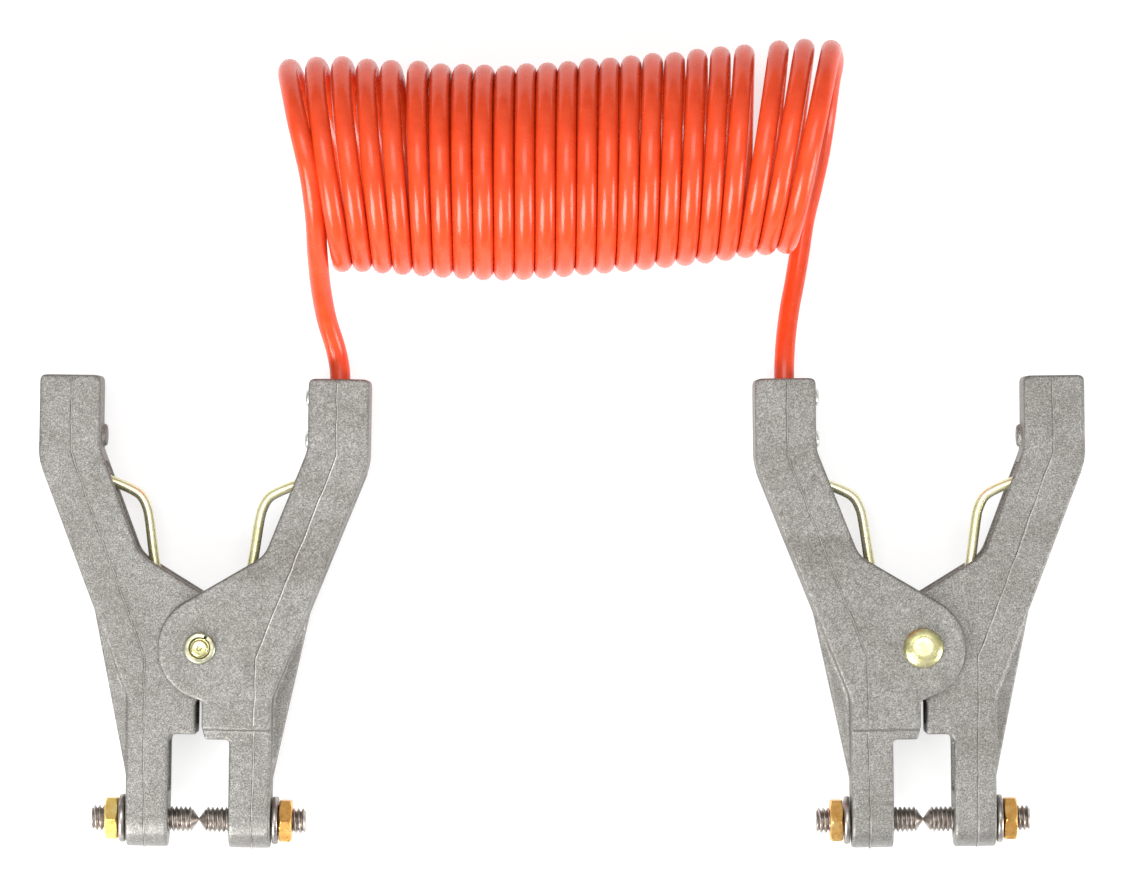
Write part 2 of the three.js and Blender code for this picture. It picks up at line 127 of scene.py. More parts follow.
# Pivot pin: its head is at minus z, and the ring is on its other end.
PIN_END = 15.1
PIN_SEAT = 12.4
PIN_SHOULDER = 11.9
PIN_RADIUS = 3.175
PIN_HEAD_RADIUS = 6.2
PIN_HEAD_FLAT = 3.3
PIN_HEAD_EDGE = 0.12
PIN_HEAD_FALL = 1.7
PIN_END_RADIUS = 2.65
# The end's rounded rim (back from the end, in from the radius) and dimple (back, radius).
PIN_RIM = [(0.7, 0), (0.3, 0.12), (0.08, 0.4), (0, 0.8)]
PIN_DIMPLE = [(0, 0.9), (0.25, 0.55), (0.4, HUB)]

RING_OUTER = 4.9
RING_INNER = 2.95
RING_START = 12.45
RING_END = 13.6
RING_GAP_AT = math.radians(62)
RING_HALF_GAP = math.radians(7)

# Torsion spring; its leg is out from the coil's mean radius and up from the pivot.
SPRING_RADIUS = 1.6
SPRING_MEAN_RADIUS = 10.9
SPRING_HALF_WIDTH = 3.7
SPRING_TURNS = 2.5
SPRING_TURN_POINTS = 16
SPRING_STEP = 1.2
SPRING_LEG = [
    (0, 2),
    (2.3, 13),
    (4.7, 27),
    (6.4, 39),
    (7.4, 43.4),
    (9.3, 46.8),
    (12.6, 48.9),
    (18, 51.1),
    (29, 55),
]

# Cable screws: how far below the handle's top, and their crown (down from its top, radius).
CABLE_SCREW_DROPS = {"upper": 6, "lower": 19}
CABLE_SCREW_HEAD = 2.75
CABLE_SCREW_CROWN = [
    (0, HUB),
    (0, 1.2),
    (0.08, 1.9),
    (0.32, 2.4),
    (0.7, 2.68),
    (1.0, CABLE_SCREW_HEAD),
]
CABLE_SCREW_SINK = 0.1
CABLE_SCREW_SHANK = 1.6
CABLE_SCREW_PROUD = 1.4
CABLE_SCREW_END = 38.3
CABLE_SCREW_SLOT = 0.7
CABLE_SCREW_SLOT_DEPTH = 0.75
CABLE_SCREW_SLOT_REACH = 4

# How far a cutter stands clear of the face that it cuts.
CLEAR = 1

# The cable: its two leads, from clamp to coil and from coil to clamp, in the row frame.
CABLE_RADIUS = 3.175
LEFT_LEAD = [
    (-69.2, 69.4, 15.1),
    (-69.3, 75, 15.1),
    (-70.6, 82, 16.2),
    (-73.2, 91.2, 22),
    (-74.6, 101, 32),
    (-75.1, 111, 44),
    (-75.2, 121, 54.4),
    (-76.4, 132.5, 61.2),
    (-78.4, 142, 63),
    (-80.6, 151, 60.8),
    (-82.7, 160.4, 53),
    (-84.1, 165.8, 43),
]
RIGHT_LEAD = [
    (84.5, 170.8, 21),
    (83.8, 165, 12),
    (82.8, 155.5, 5.4),
    (81.1, 144, 3.4),
    (78.7, 133, 3.3),
    (76.2, 122.6, 3.3),
    (74.6, 112.2, 3.6),
    (73, 103, 5.2),
    (71.2, 94, 8.4),
    (69.9, 84.7, 12.4),
    (69.35, 76.5, 14.9),
    (69.38, 69.7, 15.1),
]
LEAD_STEP = 3
LEAD_CLEAR = 5.5

# Its coil of 23 turns. u runs from -1 at the first crest to 1 at the last.
COIL_CRESTS = 24
COIL_POINTS = 48
COIL_TRIM = 3
COIL_MEAN_RADIUS = 30.2
COIL_HEIGHT = 33.5
# x at the far crests (by 1, u, u cubed) and near ones (by 1, u), and y (by 1, u, u squared).
COIL_FAR = (-2.435, 73.63, 7.837)
COIL_NEAR = (0.638, 71.67)
COIL_MIDDLE = (137.57, 2.96, 4.93)
# The crests after which turns stand apart, by how much, and over which part of a turn.
COIL_GAPS = ((5, 1.24), (21, 2.94))
COIL_GAP_START = 0.15
COIL_GAP_LENGTH = 0.7
# A shallow dip left of the middle, and a drop at both ends.
COIL_DIP = 1.2
COIL_DIP_AT = -0.26
COIL_DIP_WIDTH = 0.3
COIL_END_DROP = 1.7
# Turns differ a little in radius, most at their far crests, by a sine of the turn's number.
COIL_UNEVEN = 0.35
COIL_UNEVEN_SHARE = 0.6
COIL_UNEVEN_STEP = 2.3
COIL_UNEVEN_PHASE = 0.8

# ---------------------------------------------------------------- materials

WHITE = (1, 1, 1)

# Where noise has most of its values.
NOISE_RANGE = (0.3, 0.7)

CAST_METALLIC = 0.75
CAST_DARK = (0.1, 0.098, 0.091)
CAST_LIGHT = (0.354, 0.348, 0.33)
# The brightest specks against the light tone, and where each of the four tones lies.
CAST_GLINT = 1.65
CAST_TONES_AT = (0.34, 0.47, 0.56, 0.68)
# Noise is given by its features per metre, detail and roughness.
CAST_SPECKS = (2300, 4, 0.85)
CAST_PITS = (1700, 4, 0.75)
# Mottling, finer and then coarser: its noise, where its ramp starts and ends, and its shade.
CAST_MOTTLES = (
    ((420, 4, 0.7), (0.34, 0.66), (0.8, 0.79, 0.78)),
    ((70, 3, 0.6), (0.32, 0.68), (0.82, 0.805, 0.785)),
)
# Painted shade on convex edges: how dark it is, and the pointiness over which it comes in.
PAINTED_EDGE_SHADE = (0.8, 0.79, 0.77)
EDGE_POINTINESS = (0.51, 0.6)
# How much darker the band across each cable half is.
DARK_BAND_TONE = (0.86, 0.84, 0.83)

# Where the darker band across each cable half starts and ends, up the row, in metres.
DARK_BAND = {"left": ((0.0085, 0.0105), (0.014, 0.03)), "right": ((0.008, 0.018), (0.0226, 0.0242))}

# Over which heights the jaws' ends turn paler and smoother, in metres, and by how much; the
# paleness is partly wear and partly a painted highlight.
WEAR_AND_PAINTED_SHEEN_END = (-0.072, -0.064)
WEAR_AND_PAINTED_SHEEN_SHARE = 0.22
SMOOTH_END = (-0.073, -0.06)
SMOOTH_SHARE = 0.16

# Where the three tints of a plated surface lie, and how finely its roughness and bump vary.
TINTS_AT = (0.32, 0.5, 0.68)
SHEEN_SCALE = 900
PLATED_BUMPS = 2200

VINYL_COLOUR = (0.69, 0.058, 0.013)
VINYL_TINTS = [(0.3, (0.65, 0.05, 0.01)), (0.7, (0.73, 0.068, 0.017))]
VINYL_ROUGHNESS = (0.2, 0.28)
VINYL_RIPPLE = (380, 2, 0.5)


def material(name, colour, metallic, roughness):
    """A new material, and its shader."""
    made = bpy.data.materials.new(name)
    made.use_nodes = True
    shader = made.node_tree.nodes["Principled BSDF"]
    shader.inputs["Base Color"].default_value = (*colour, 1)
    shader.inputs["Metallic"].default_value = metallic
    shader.inputs["Roughness"].default_value = roughness
    return made, shader


def link(made, socket, target):
    made.node_tree.links.new(socket, target)


def add(made, kind, inputs=(), **settings):
    """A new node, whose inputs are linked where they are sockets and set where they are values."""
    node = made.node_tree.nodes.new(kind)
    for key, value in settings.items():
        setattr(node, key, value)
    for key, value in inputs:
        if isinstance(value, bpy.types.NodeSocket):
            link(made, value, node.inputs[key])
        else:
            node.inputs[key].default_value = value
    return node


def own_space(made):
    """A point's place in its object, which is its place in the row at rest."""
    return add(made, "ShaderNodeTexCoord").outputs["Object"]


def grain(made, scale, detail=3, rough=0.6):
    """Noise in the object's own space, in features per metre."""
    settings = [("Scale", scale), ("Detail", detail), ("Roughness", rough)]
    node = add(made, "ShaderNodeTexNoise", [("Vector", own_space(made)), *settings])
    return node.outputs["Fac"]


def ramp(made, factor, stops):
    """The factor as a colour, from (position, colour) stops."""
    node = add(made, "ShaderNodeValToRGB", [("Fac", factor)])
    elements = node.color_ramp.elements
    while len(elements) < len(stops):
        elements.new(0.5)
    for element, (position, colour) in zip(elements, stops):
        element.position = position
        element.color = (*colour, 1)
    return node.outputs["Color"]


def spread(made, factor, low, high, source=NOISE_RANGE):
    """The factor mapped to a range."""
    ends = [("From Min", source[0]), ("From Max", source[1]), ("To Min", low), ("To Max", high)]
    return add(made, "ShaderNodeMapRange", [("Value", factor), *ends]).outputs["Result"]


def calculate(made, operation, a, b):
    return add(made, "ShaderNodeMath", [(0, a), (1, b)], operation=operation).outputs[0]


def blend_colours(made, factor, a, b, mode="MIX"):
    """Two colours mixed; each is a socket or a value."""
    node = add(made, "ShaderNodeMix", data_type="RGBA", blend_type=mode)
    for socket, value in ((node.inputs[0], factor), (node.inputs[6], a), (node.inputs[7], b)):
        if isinstance(value, bpy.types.NodeSocket):
            link(made, value, socket)
        elif isinstance(value, tuple):
            socket.default_value = (*value, 1)
        else:
            socket.default_value = value
    return node.outputs[2]


def multiply(made, a, b):
    return blend_colours(made, 1.0, a, b, "MULTIPLY")


def bump(made, shader, height, distance, strength=1.0):
    inputs = [("Height", height), ("Distance", distance), ("Strength", strength)]
    link(made, add(made, "ShaderNodeBump", inputs).outputs["Normal"], shader.inputs["Normal"])


def cast_metal(name, dark, light, roughness, relief, dark_band=None, painted_edge_shade=PAINTED_EDGE_SHADE):
    """As-cast aluminium: specks, mottling, painted edge shade, and jaw ends rubbed smoother."""
    made, shader = material(name, light, CAST_METALLIC, roughness)
    middle = tuple((a + b) / 2 for a, b in zip(dark, light))
    bright = tuple(min(1.0, CAST_GLINT * c) for c in light)
    stops = list(zip(CAST_TONES_AT, (dark, middle, light, bright)))
    toned = ramp(made, grain(made, *CAST_SPECKS), stops)
    for mottles, (low, high), shade in CAST_MOTTLES:
        mottle = ramp(made, grain(made, *mottles), [(low, shade), (high, WHITE)])
        toned = multiply(made, toned, mottle)
    # Painted shade: edges are darkened where the surface is pointy.
    pointiness = add(made, "ShaderNodeNewGeometry").outputs["Pointiness"]
    painted_edge_mask = spread(made, pointiness, 0, 1, EDGE_POINTINESS)
    toned = blend_colours(made, painted_edge_mask, toned, multiply(made, toned, painted_edge_shade))
    height = add(made, "ShaderNodeSeparateXYZ", [("Vector", own_space(made))]).outputs["Y"]
    # Darker across a band of the cable half.
    if dark_band:
        lower = spread(made, height, 0, 1, dark_band[0])
        upper = spread(made, height, 1, 0, dark_band[1])
        band = calculate(made, "MULTIPLY", lower, upper)
        toned = blend_colours(made, band, toned, multiply(made, toned, DARK_BAND_TONE))
    # Jaw ends painted paler: partly wear, partly a painted highlight.
    wear_and_painted_sheen = spread(made, height, WEAR_AND_PAINTED_SHEEN_SHARE, 0, WEAR_AND_PAINTED_SHEEN_END)
    link(made, blend_colours(made, wear_and_painted_sheen, toned, light), shader.inputs["Base Color"])
    rough = spread(made, grain(made, SHEEN_SCALE), roughness - 0.08, roughness + 0.12)
    smooth = spread(made, height, SMOOTH_SHARE, 0, SMOOTH_END)
    link(made, calculate(made, "SUBTRACT", rough, smooth), shader.inputs["Roughness"])
    bump(made, shader, grain(made, *CAST_PITS), relief)
    return made


def plated(name, tones, roughness, patch, metallic=0.95, relief=0.00003):
    """A plated or drawn metal whose tint drifts over patches, of so many to the metre."""
    made, shader = material(name, tones[1], metallic, roughness)
    drift = ramp(made, grain(made, patch), list(zip(TINTS_AT, tones)))
    link(made, drift, shader.inputs["Base Color"])
    rough = spread(made, grain(made, SHEEN_SCALE), roughness - 0.06, roughness + 0.1)
    link(made, rough, shader.inputs["Roughness"])
    bump(made, shader, grain(made, PLATED_BUMPS), relief, strength=0.6)
    return made


def vinyl():
    """Glossy orange vinyl with a faint cloudiness, and a fine extruded ripple."""
    made, shader = material("orange_vinyl", VINYL_COLOUR, metallic=0, roughness=0.24)
    shader.inputs["Specular IOR Level"].default_value = 0.38
    link(made, ramp(made, grain(made, 160), VINYL_TINTS), shader.inputs["Base Color"])
    link(made, spread(made, grain(made, 500), *VINYL_ROUGHNESS), shader.inputs["Roughness"])
    bump(made, shader, grain(made, *VINYL_RIPPLE), 0.00005, strength=0.5)
    return made


PLAIN_CAST = cast_metal("cast_aluminium", CAST_DARK, CAST_LIGHT, roughness=0.5, relief=0.00012)
BANDED_CAST = {
    side: cast_metal(
        f"cast_aluminium_banded_{side}",
        CAST_DARK,
        CAST_LIGHT,
        roughness=0.5,
        relief=0.00012,
        dark_band=dark_band,
    )
    for side, dark_band in DARK_BAND.items()
}
# The die line's metal painted bright, as a painted highlight.
FLASH_PAINTED_LIGHT = cast_metal(
    "flash_aluminium",
    dark=(0.3, 0.295, 0.285),
    light=(0.66, 0.65, 0.63),
    roughness=0.4,
    relief=0.00004,
    painted_edge_shade=(0.9, 0.9, 0.9),
)
# The die line's metal painted dark, as painted shade on one flank.
FLASH_PAINTED_SHADE = cast_metal(
    "flash_aluminium_painted_shade",
    dark=(0.08, 0.076, 0.07),
    light=(0.2, 0.19, 0.18),
    roughness=0.6,
    relief=0.00004,
)
# The die line's metal painted lighter than the casting, as a weaker painted highlight.
FLASH_PAINTED_SOFT_LIGHT = cast_metal(
    "flash_aluminium_painted_soft_light",
    dark=(0.24, 0.235, 0.225),
    light=(0.5, 0.49, 0.47),
    roughness=0.5,
    relief=0.00004,
)
ZINC_YELLOW = plated(
    "yellow_zinc",
    [(0.48, 0.47, 0.22), (0.68, 0.64, 0.32), (0.78, 0.72, 0.43)],
    roughness=0.26,
    patch=260,
)
ZINC_RING = plated(
    "yellow_zinc_ring",
    [(0.28, 0.27, 0.18), (0.46, 0.45, 0.32), (0.6, 0.59, 0.46)],
    roughness=0.34,
    patch=420,
)
ZINC_SPRING = plated(
    "yellow_zinc_wire",
    [(0.74, 0.7, 0.38), (0.84, 0.8, 0.5), (0.92, 0.88, 0.62)],
    roughness=0.26,
    patch=110,
    metallic=0.75,
    relief=0.000006,
)
ZINC_BRIGHT = plated(
    "bright_zinc",
    [(0.5, 0.5, 0.47), (0.62, 0.62, 0.59), (0.72, 0.72, 0.7)],
    roughness=0.3,
    patch=300,
)
BRASS_YELLOW = plated(
    "brass_yellow",
    [(0.92, 0.6, 0.16), (0.97, 0.7, 0.22), (0.98, 0.79, 0.36)],
    roughness=0.3,
    patch=260,
)
BRASS_ORANGE = plated(
    "brass_orange",
    [(0.72, 0.36, 0.09), (0.86, 0.48, 0.14), (0.93, 0.62, 0.25)],
    roughness=0.3,
    patch=260,
)
SCREW_STEEL = plated(
    "screw_steel",
    [(0.27, 0.235, 0.21), (0.4, 0.36, 0.33), (0.56, 0.52, 0.48)],
    roughness=0.34,
    patch=500,
)
WASHER_STEEL = plated(
    "washer_steel",
    [(0.22, 0.195, 0.175), (0.34, 0.31, 0.285), (0.47, 0.435, 0.405)],
    roughness=0.34,
    patch=320,
)
VINYL = vinyl()

# ---------------------------------------------------------------- shapes


def clamp_frame(side):
    """From a clamp's own millimetres to the row frame.

    Its x is across, to the half with the cable, y is up to the handles, and z is along the pin.
    """
    low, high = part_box(f"{side}_pivot_pin")
    place = Matrix.Translation((low + high) / 2) @ Matrix.Rotation(TURN[side], 4, "Z")
    if side == "right":
        place = place @ Matrix.Rotation(math.pi, 4, "Y")
    return place @ Matrix.Scale(MM, 4)


def show(name, shell, made, place, body, nodes=(), sharp=35):
    """A closed shell of (verts, faces) as a piece on a body."""
    verts, faces = shell
    mesh = bpy.data.meshes.new(name)
    mesh.from_pydata([tuple(v) for v in verts], [], faces)
    mesh.transform(place)
    return finish_piece(name, mesh, made, body, nodes, sharp)


def finish_piece(name, mesh, made, body, nodes, sharp):
    """A mesh as a piece, smooth but for edges sharper than an angle in degrees."""
    shape = bmesh.new()
    shape.from_mesh(mesh)
    bmesh.ops.recalc_face_normals(shape, faces=shape.faces)
    shape.to_mesh(mesh)
    shape.free()
    mesh.shade_smooth()
    mesh.set_sharp_from_angle(angle=math.radians(sharp))
    mesh.materials.clear()
    mesh.materials.append(made)
    piece = bpy.data.objects.new(name, mesh)
    bpy.context.scene.collection.objects.link(piece)
    if nodes:
        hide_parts(*nodes)
    if body:
        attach(piece, body)
    return piece


def skin(rings, looped=False):
    """Faces over rings of equal count; the ends are capped, or joined to each other if looped."""
    count = len(rings[0])
    total = len(rings)
    verts = [p for ring in rings for p in ring]
    faces = []
    for i in range(total if looped else total - 1):
        j = (i + 1) % total
        for k in range(count):
            m = (k + 1) % count
            faces.append((i * count + k, j * count + k, j * count + m, i * count + m))
    if not looped:
        faces.append(tuple(range(count)))
        faces.append(tuple(reversed(range((total - 1) * count, total * count))))
    return verts, faces


def around(axis, along, radii):
    """One ring about an axis, from its radii at even angles."""
    ring = []
    for k, radius in enumerate(radii):
        angle = 2 * math.pi * k / len(radii)
        a, b = radius * math.cos(angle), radius * math.sin(angle)
        ring.append((along, a, b) if axis == "x" else (a, b, along))
    return ring


def lathe(axis, profile, sides):
    """A turned shell from (along, radius) points."""
    return skin([around(axis, along, [radius] * sides) for along, radius in profile])


def smooth_path(points, step):
    """Points about a step apart on a Catmull-Rom curve through the given ones."""
    p = np.array(points, float)
    p = np.vstack([2 * p[0] - p[1], p, 2 * p[-1] - p[-2]])
    out = []
    for i in range(1, len(p) - 2):
        a, b, c, d = p[i - 1 : i + 3]
        squared = 2 * a - 5 * b + 4 * c - d
        cubed = 3 * b - a - 3 * c + d
        pieces = max(2, math.ceil(np.linalg.norm(c - b) / step))
        for t in np.arange(pieces) / pieces:
            out.append(0.5 * (2 * b + (c - a) * t + squared * t**2 + cubed * t**3))
    out.append(p[-2])
    return np.array(out)


def tube(path, radius, sides):
    """A shell along a path, without twist, a little narrower at its ends."""
    tangents = np.gradient(path, axis=0)
    tangents /= np.linalg.norm(tangents, axis=1)[:, None]
    off_axis = (0.3, 0.2, 1.0)
    side = np.cross(tangents[0], off_axis)
    end_share = 0.8
    angles = [2 * math.pi * k / sides for k in range(sides)]
    rings = []
    for i, (centre, along) in enumerate(zip(path, tangents)):
        side = side - along * side.dot(along)
        side /= np.linalg.norm(side)
        up = np.cross(along, side)
        r = radius * (end_share if i in (0, len(path) - 1) else 1)
        rings.append([centre + r * (math.cos(a) * side + math.sin(a) * up) for a in angles])
    return skin(rings)


def cut(piece, low, high, place):
    """A box-shaped cut in a piece, between two corners in the frame that place comes from."""
    faces = [(0, 1, 3, 2), (4, 6, 7, 5), (0, 4, 5, 1), (2, 3, 7, 6), (0, 2, 6, 4), (1, 5, 7, 3)]
    mesh = bpy.data.meshes.new("cutter")
    mesh.from_pydata(list(product(*zip(low, high))), [], faces)
    mesh.transform(place)
    cutter = bpy.data.objects.new("cutter", mesh)
    bpy.context.scene.collection.objects.link(cutter)
    change = piece.modifiers.new("cut", "BOOLEAN")
    change.operation = "DIFFERENCE"
    change.solver = "EXACT"
    change.object = cutter
    apply_modifiers(piece)
    bpy.data.objects.remove(cutter)


def apply_modifiers(piece):
    bpy.context.view_layer.update()
    final = piece.evaluated_get(bpy.context.evaluated_depsgraph_get())
    mesh = bpy.data.meshes.new_from_object(final)
    piece.modifiers.clear()
    piece.data = mesh


# ---------------------------------------------------------------- castings

# In metres.
WELD = 1e-6
VOXEL = 0.0005

SMOOTHINGS = 10


def casting(side, half, body):
    """The CAD casting with its edges rounded as a die leaves them."""
    node = f"{side}_{half}_half"
    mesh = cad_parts[node].data.copy()
    shape = bmesh.new()
    shape.from_mesh(mesh)
    bmesh.ops.remove_doubles(shape, verts=shape.verts, dist=WELD)
    shape.to_mesh(mesh)
    shape.free()
    rough = bpy.data.objects.new("rough", mesh)
    bpy.context.scene.collection.objects.link(rough)
    voxels = rough.modifiers.new("voxels", "REMESH")
    voxels.mode = "VOXEL"
    voxels.voxel_size = VOXEL
    soften = rough.modifiers.new("soften", "SMOOTH")
    soften.factor = 0.5
    soften.iterations = SMOOTHINGS
    apply_modifiers(rough)
    mesh = rough.data
    bpy.data.objects.remove(rough)
    made = BANDED_CAST[side] if half == "cable" else PLAIN_CAST
    finish_piece(f"{node}_casting", mesh, made, body, [node], sharp=80)


def flash_path(half):
    """Points where the dies met, and the way out of the casting at each.

    They run down the arm's front, round its jaw end and up its back.
    """
    sign = 1 if half == "cable" else -1
    front = []
    for (x0, y0), (x1, y1) in zip(FLASH_LINE, FLASH_LINE[1:]):
        steps = max(2, int(math.hypot(x1 - x0, y1 - y0) / FLASH_STEP))
        for i in range(steps):
            t = i / steps
            front.append((x0 + (x1 - x0) * t, y0 + (y1 - y0) * t))
    front = [*front[1:], FLASH_LINE[-1]]

    def depth(y):
        if half == "tongue" or y < PLATE_BOTTOM - PLATE_STEP:
            return JAW_FACE
        return CABLE_HALF_FACE if y > PLATE_BOTTOM + PLATE_STEP else PLATE_STEP_FACE

    path = [((sign * x, y, depth(y)), (0, 0, 1)) for x, y in front]
    centre = (sign * FLASH_LINE[-1][0], -SCREW_DROP, 0)
    end_steps = 12
    for i in range(1, end_steps):
        angle = math.pi * i / end_steps
        away = (0, -math.sin(angle), math.cos(angle))
        path.append((tuple(c + JAW_FACE * a for c, a in zip(centre, away)), away))
    path += [((sign * x, y, -depth(y)), (0, 0, -1)) for x, y in reversed(front)]
    return path


def flash(side, half, body):
    """The thin, uneven ridge of metal along the line where the dies met."""
    path = flash_path(half)
    points = np.array([p for p, _ in path])
    normals = np.array([n for _, n in path], float)
    along = np.gradient(points, axis=0)
    along /= np.linalg.norm(along, axis=1)[:, None]
    seed = FLASH_SEED[side] + FLASH_SEED[half]
    bold = FLASH_BOLD[side] * FLASH_BOLD[half]
    rings = []
    for point, normal, way in zip(points, normals, along):
        across = np.cross(way, normal)
        here = Vector((point[1] * FLASH_WAVES[0] + seed, point[2] * FLASH_WAVES[1], seed))
        wander = FLASH_WANDER * noise.noise(here)
        waver = noise.noise(here * FLASH_WAVER)
        swell = JAW_FLASH_SWELL if point[1] < PLATE_BOTTOM else 1.0
        high = swell * bold * max(FLASH_LOW, FLASH_HIGH + FLASH_HIGH * waver)
        wide = FLASH_WIDE + FLASH_WIDE_WAVER * waver
        base = point + across * wander
        section = [
            (-wide, FLASH_ROOT),
            (-wide, 0.0),
            (-FLASH_CREST, high),
            (FLASH_CREST, high),
            (wide, 0.0),
            (wide, FLASH_ROOT),
        ]
        rings.append([base + across * a + normal * b for a, b in section])
    # The left cable half's ridge is painted bright and the others less bright: painted light.
    made = FLASH_PAINTED_LIGHT if (side, half) == ("left", "cable") else FLASH_PAINTED_SOFT_LIGHT
    name = f"{side}_{half}_die_line"
    piece = show(name, skin(rings), made, clamp_frame(side), body, sharp=60)
    # Painted shade on one flank of the ridge.
    piece.data.materials.append(FLASH_PAINTED_SHADE)
    for i, face in enumerate(piece.data.polygons):
        if i % len(section) == FLASH_PAINTED_SHADE_FLANK[side]:
            face.material_index = 1


# ---------------------------------------------------------------- pivot


def pivot_pin(side):
    """Turned pin with a low crowned head, and a narrower end with a dimple."""
    profile = [(-PIN_END, HUB), *((-PIN_END, PIN_HEAD_FLAT * i / 3) for i in range(1, 4))]
    for i in range(1, 9):
        t = i / 8
        radius = PIN_HEAD_FLAT + (PIN_HEAD_RADIUS - PIN_HEAD_FLAT) * t
        # Partly a cone, and mostly a quarter circle.
        fall = 0.3 * t + 0.7 * (1 - math.sqrt(1 - t * t))
        profile.append((-PIN_END + PIN_HEAD_EDGE + PIN_HEAD_FALL * fall, radius))
    profile += [
        (-PIN_SEAT, PIN_HEAD_RADIUS),
        (-PIN_SEAT, PIN_RADIUS),
        (PIN_SHOULDER, PIN_RADIUS),
        (PIN_SHOULDER, PIN_END_RADIUS),
    ]
    profile += [(PIN_END - back, PIN_END_RADIUS - inset) for back, inset in PIN_RIM]
    profile += [(PIN_END - back, radius) for back, radius in PIN_DIMPLE]
    node = f"{side}_pivot_pin"
    show(
        f"{node}_turned",
        lathe("z", profile, sides=64),
        ZINC_YELLOW,
        clamp_frame(side),
        "cable_set",
        [node],
    )


def retaining_ring(side):
    """A flat ring with a gap, pressed on the pin's narrower end."""
    section = [
        (RING_INNER, RING_START),
        (RING_OUTER - 0.1, RING_START),
        (RING_OUTER, RING_START + 0.1),
        (RING_OUTER, RING_END - 0.45),
        (RING_OUTER - 0.15, RING_END - 0.2),
        (RING_OUTER - 0.5, RING_END),
        (RING_INNER + 0.5, RING_END),
        (RING_INNER + 0.1, RING_END - 0.5),
    ]
    steps = 60
    rings = []
    for i in range(steps + 1):
        swept = (2 * math.pi - 2 * RING_HALF_GAP) * i / steps
        angle = RING_GAP_AT + RING_HALF_GAP + swept
        c, s = math.cos(angle), math.sin(angle)
        rings.append([(r * c, r * s, z) for r, z in section])
    node = f"{side}_retaining_ring"
    show(
        f"{node}_split",
        skin(rings),
        ZINC_RING,
        clamp_frame(side),
        "cable_set",
        [node],
    )


def torsion_spring(side):
    """Close coil about the pin, and a leg up into each arm."""
    leg = [(SPRING_MEAN_RADIUS + out, height) for out, height in SPRING_LEG]
    points = [(x, y, SPRING_HALF_WIDTH) for x, y in reversed(leg)]
    count = int(SPRING_TURNS * SPRING_TURN_POINTS)
    for i in range(count + 1):
        angle = -2 * math.pi * SPRING_TURNS * i / count
        x, y = SPRING_MEAN_RADIUS * math.cos(angle), SPRING_MEAN_RADIUS * math.sin(angle)
        points.append((x, y, SPRING_HALF_WIDTH * (1 - 2 * i / count)))
    points += [(-x, y, -SPRING_HALF_WIDTH) for x, y in leg]
    wire = tube(smooth_path(points, SPRING_STEP), SPRING_RADIUS, sides=20)
    node = f"{side}_torsion_spring"
    place = clamp_frame(side)
    name = f"{node}_wound"
    piece = show(name, wire, ZINC_SPRING, place, None, [node], sharp=70)
    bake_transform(piece)


# ---------------------------------------------------------------- contact screws


def screw_frame(side, half):
    """A screw's own frame: x outward along it, from the point where the two screws meet."""
    turn = Matrix.Rotation(math.pi, 4, "Y") if half == "tongue" else Matrix.Identity(4)
    return clamp_frame(side) @ Matrix.Translation((0, -SCREW_DROP, 0)) @ turn


def contact_screw(side, half):
    """Cone-pointed set screw with a coarse thread and a slot."""
    sides = 40
    rows = round((SCREW_END - SCREW_TIP) / THREAD_PITCH * THREAD_ROWS)
    rings = []
    for i in range(rows + 1):
        x = SCREW_TIP + (SCREW_END - SCREW_TIP) * i / rows
        cone = SCREW_POINT_SLOPE * (x - SCREW_TIP) + SCREW_POINT_RADIUS
        bevel = SCREW_RADIUS - SCREW_BEVEL + (SCREW_END - x)
        radii = []
        for k in range(sides):
            phase = (x / THREAD_PITCH - k / sides) % 1
            crest = min(1.0, max(0.0, abs(2 * phase - 1) * THREAD_SLOPE - THREAD_ROOT))
            thread = SCREW_RADIUS - THREAD_DEPTH * (1 - crest)
            radii.append(min(thread, cone, bevel))
        rings.append(around("x", x, radii))
    node = f"{side}_{half}_contact_screw"
    place = screw_frame(side, half)
    body = f"{side}_{half}_screw"
    name = f"{node}_threaded"
    piece = show(name, skin(rings), SCREW_STEEL, place, None, [node], sharp=40)
    low = (SCREW_END - SLOT_DEPTH, -SCREW_RADIUS - CLEAR, -SLOT_WIDTH / 2)
    cut(piece, low, (SCREW_END + CLEAR, SCREW_RADIUS + CLEAR, SLOT_WIDTH / 2), place)
    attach(piece, body)


def lock_nut(side, half):
    """Hexagon nut with both faces chamfered and a chamfered bore."""
    sides = 96
    rows = 22
    apothem = NUT_FLATS / 2
    hexagon = []
    for k in range(sides):
        angle = (2 * math.pi * k / sides) % (math.pi / 3)
        hexagon.append(apothem / math.cos(min(angle, math.pi / 3 - angle)))
    rings = []
    for i in range(rows + 1):
        x = NUT_START + (NUT_END - NUT_START) * i / rows
        limit = apothem - NUT_CORNER_CUT + min(x - NUT_START, NUT_END - x) * NUT_CORNER_SLOPE
        inset = NUT_FACE_INSET if i in (0, rows) else 0
        rings.append(around("x", x, [min(r, limit) - inset for r in hexagon]))
    for x, radius in (
        (NUT_END, NUT_BORE + NUT_BORE_CHAMFER),
        (NUT_END - NUT_BORE_CHAMFER, NUT_BORE),
        (NUT_START + NUT_BORE_CHAMFER, NUT_BORE),
        (NUT_START, NUT_BORE + NUT_BORE_CHAMFER),
    ):
        rings.append(around("x", x, [radius] * sides))
    node = f"{side}_{half}_lock_nut"
    show(
        f"{node}_chamfered",
        skin(rings, looped=True),
        BRASS_YELLOW if (side, half) == ("left", "tongue") else BRASS_ORANGE,
        screw_frame(side, half),
        f"{side}_{half}_nut",
        [node],
        sharp=25,
    )


